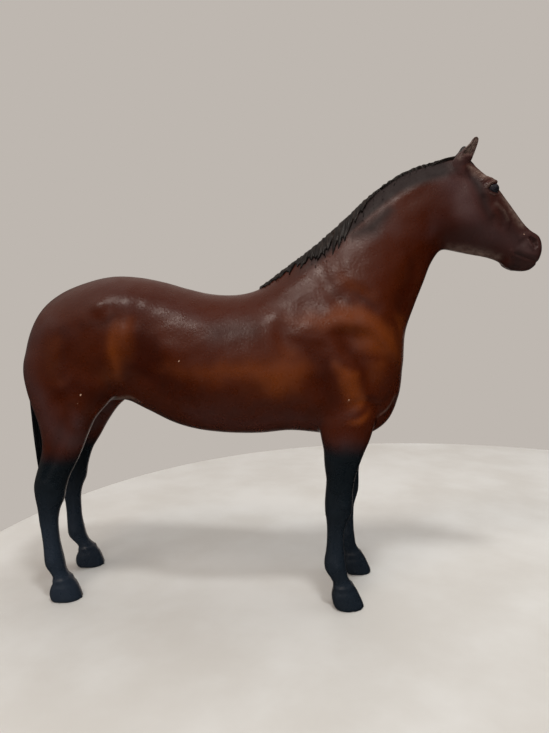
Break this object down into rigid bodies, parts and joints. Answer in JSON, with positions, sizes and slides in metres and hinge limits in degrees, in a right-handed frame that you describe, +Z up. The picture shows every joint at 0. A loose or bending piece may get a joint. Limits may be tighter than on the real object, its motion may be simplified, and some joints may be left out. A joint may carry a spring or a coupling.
{
  "type": "toy horse figure",
  "caption": "Standing bay toy horse with dark legs, mane and tail, moulded in hollow glued halves.",
  "frame": {"origin": "on the ground under the middle of the figure's length, in the parting plane of the two body halves", "axes": "+X towards the nose, +Y towards the horse's left, +Z up"},
  "size_m": [0.2264, 0.0538, 0.1963],
  "materials": {
    "bay_coat": "satin",
    "leg_paint": "satin",
    "tail_paint": "satin"
  },
  "bodies": {
    "root": {"right_body_half": "bay_coat", "right_fore_inner_leg": "leg_paint", "right_hind_inner_leg": "leg_paint", "left_body_half": "bay_coat", "left_fore_inner_leg": "leg_paint", "left_hind_inner_leg": "leg_paint", "tail": "tail_paint"}
  },
  "joints": []
}
